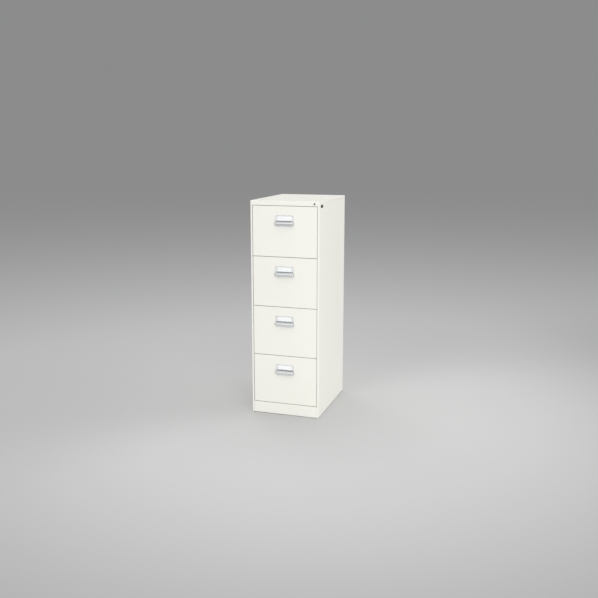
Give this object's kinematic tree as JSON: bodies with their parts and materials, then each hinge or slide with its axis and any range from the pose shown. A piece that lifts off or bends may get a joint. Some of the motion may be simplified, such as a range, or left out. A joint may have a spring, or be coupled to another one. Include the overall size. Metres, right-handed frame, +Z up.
{
  "type": "filing cabinet",
  "caption": "Tall steel filing cabinet whose file drawers run out on roller slides, with hooded pulls, label holders and one lock bar.",
  "frame": {"origin": "on the floor, under the middle of the whole box, handles and back screws included", "axes": "+X to the right of someone facing the drawers, +Y to the cabinet's back, +Z up"},
  "size_m": [0.4558, 0.6464, 1.4],
  "materials": {
    "case_paint": "satin",
    "drawer_paint": "satin",
    "follower_paint": "satin",
    "zinc_steel": "satin",
    "chrome": "polished",
    "lock_black": "satin",
    "card": "matte",
    "nylon": "satin",
    "foot_plastic": "matte",
    "black_plastic": "satin"
  },
  "bodies": {
    "case": {"left_side_panel": "case_paint", "right_side_panel": "case_paint", "top_panel": "case_paint", "header_channel": "case_paint", "back_panel": "case_paint", "bottom_panel": "case_paint", "plinth_panel": "case_paint", "back_screws": "zinc_steel", "uprights": "case_paint", "cross_rails": "case_paint", "base_rails": "zinc_steel", "levelling_feet": "foot_plastic", "slide_channels": "zinc_steel", "side_plate": "black_plastic", "lock_housing": "chrome", "lock_nut": "zinc_steel", "lock_bar_guides": "nylon"},
    "lock_bar": {"lock_bar": "zinc_steel"},
    "lock_plug": {"lock_plug": "lock_black", "lock_cam": "zinc_steel"},
    "drawer_1": {"drawer_1_front": "drawer_paint", "drawer_1_inner_front": "drawer_paint", "drawer_1_tray": "drawer_paint", "drawer_1_back": "drawer_paint", "drawer_1_handle": "chrome", "drawer_1_label_card": "card", "drawer_1_slide_channels": "zinc_steel"},
    "drawer_1_bars": {"drawer_1_slide_bars": "zinc_steel", "drawer_1_slide_rollers": "nylon"},
    "drawer_1_follower": {"drawer_1_follower": "follower_paint"},
    "drawer_2": {"drawer_2_front": "drawer_paint", "drawer_2_inner_front": "drawer_paint", "drawer_2_tray": "drawer_paint", "drawer_2_back": "drawer_paint", "drawer_2_handle": "chrome", "drawer_2_label_card": "card", "drawer_2_slide_channels": "zinc_steel"},
    "drawer_2_bars": {"drawer_2_slide_bars": "zinc_steel", "drawer_2_slide_rollers": "nylon"},
    "drawer_2_follower": {"drawer_2_follower": "follower_paint"},
    "drawer_3": {"drawer_3_front": "drawer_paint", "drawer_3_inner_front": "drawer_paint", "drawer_3_tray": "drawer_paint", "drawer_3_back": "drawer_paint", "drawer_3_handle": "chrome", "drawer_3_label_card": "card", "drawer_3_slide_channels": "zinc_steel"},
    "drawer_3_bars": {"drawer_3_slide_bars": "zinc_steel", "drawer_3_slide_rollers": "nylon"},
    "drawer_3_follower": {"drawer_3_follower": "follower_paint"},
    "drawer_4": {"drawer_4_front": "drawer_paint", "drawer_4_inner_front": "drawer_paint", "drawer_4_tray": "drawer_paint", "drawer_4_back": "drawer_paint", "drawer_4_handle": "chrome", "drawer_4_label_card": "card", "drawer_4_slide_channels": "zinc_steel"},
    "drawer_4_bars": {"drawer_4_slide_bars": "zinc_steel", "drawer_4_slide_rollers": "nylon"},
    "drawer_4_follower": {"drawer_4_follower": "follower_paint"}
  },
  "joints": [
    {"name": "drawer_1_slide", "type": "slide", "parent": "case", "child": "drawer_1", "axis": [0, -1, 0], "range_m": [0, 0.5]},
    {"name": "drawer_1_bars_slide", "type": "slide", "parent": "case", "child": "drawer_1_bars", "axis": [0, -1, 0], "range_m": [0, 0.25]},
    {"name": "drawer_1_follower_slide", "type": "slide", "parent": "drawer_1", "child": "drawer_1_follower", "axis": [0, -1, 0], "range_m": [0, 0.45]},
    {"name": "drawer_2_slide", "type": "slide", "parent": "case", "child": "drawer_2", "axis": [0, -1, 0], "range_m": [0, 0.5]},
    {"name": "drawer_2_bars_slide", "type": "slide", "parent": "case", "child": "drawer_2_bars", "axis": [0, -1, 0], "range_m": [0, 0.25]},
    {"name": "drawer_2_follower_slide", "type": "slide", "parent": "drawer_2", "child": "drawer_2_follower", "axis": [0, -1, 0], "range_m": [0, 0.45]},
    {"name": "drawer_3_slide", "type": "slide", "parent": "case", "child": "drawer_3", "axis": [0, -1, 0], "range_m": [0, 0.5]},
    {"name": "drawer_3_bars_slide", "type": "slide", "parent": "case", "child": "drawer_3_bars", "axis": [0, -1, 0], "range_m": [0, 0.25]},
    {"name": "drawer_3_follower_slide", "type": "slide", "parent": "drawer_3", "child": "drawer_3_follower", "axis": [0, -1, 0], "range_m": [0, 0.45]},
    {"name": "drawer_4_slide", "type": "slide", "parent": "case", "child": "drawer_4", "axis": [0, -1, 0], "range_m": [0, 0.5]},
    {"name": "drawer_4_bars_slide", "type": "slide", "parent": "case", "child": "drawer_4_bars", "axis": [0, -1, 0], "range_m": [0, 0.25]},
    {"name": "drawer_4_follower_slide", "type": "slide", "parent": "drawer_4", "child": "drawer_4_follower", "axis": [0, -1, 0], "range_m": [0, 0.45]},
    {"name": "lock_bar_lift", "type": "slide", "parent": "case", "child": "lock_bar", "axis": [0, 0, 1], "range_m": [0, 0.01131]},
    {"name": "lock_plug_turn", "type": "hinge", "parent": "case", "child": "lock_plug", "pos_m": [0.1965, -0.29825, 1.3856], "axis": [0, 1, 0], "range_deg": [0, 90]}
  ],
  "couplings": [
    {"joint": "drawer_1_bars_slide", "follows": "drawer_1_slide", "ratio": 0.5},
    {"joint": "drawer_2_bars_slide", "follows": "drawer_2_slide", "ratio": 0.5},
    {"joint": "drawer_3_bars_slide", "follows": "drawer_3_slide", "ratio": 0.5},
    {"joint": "drawer_4_bars_slide", "follows": "drawer_4_slide", "ratio": 0.5},
    {"joint": "lock_plug_turn", "follows": "lock_bar_lift", "rad_per_m": 138.84}
  ]
}
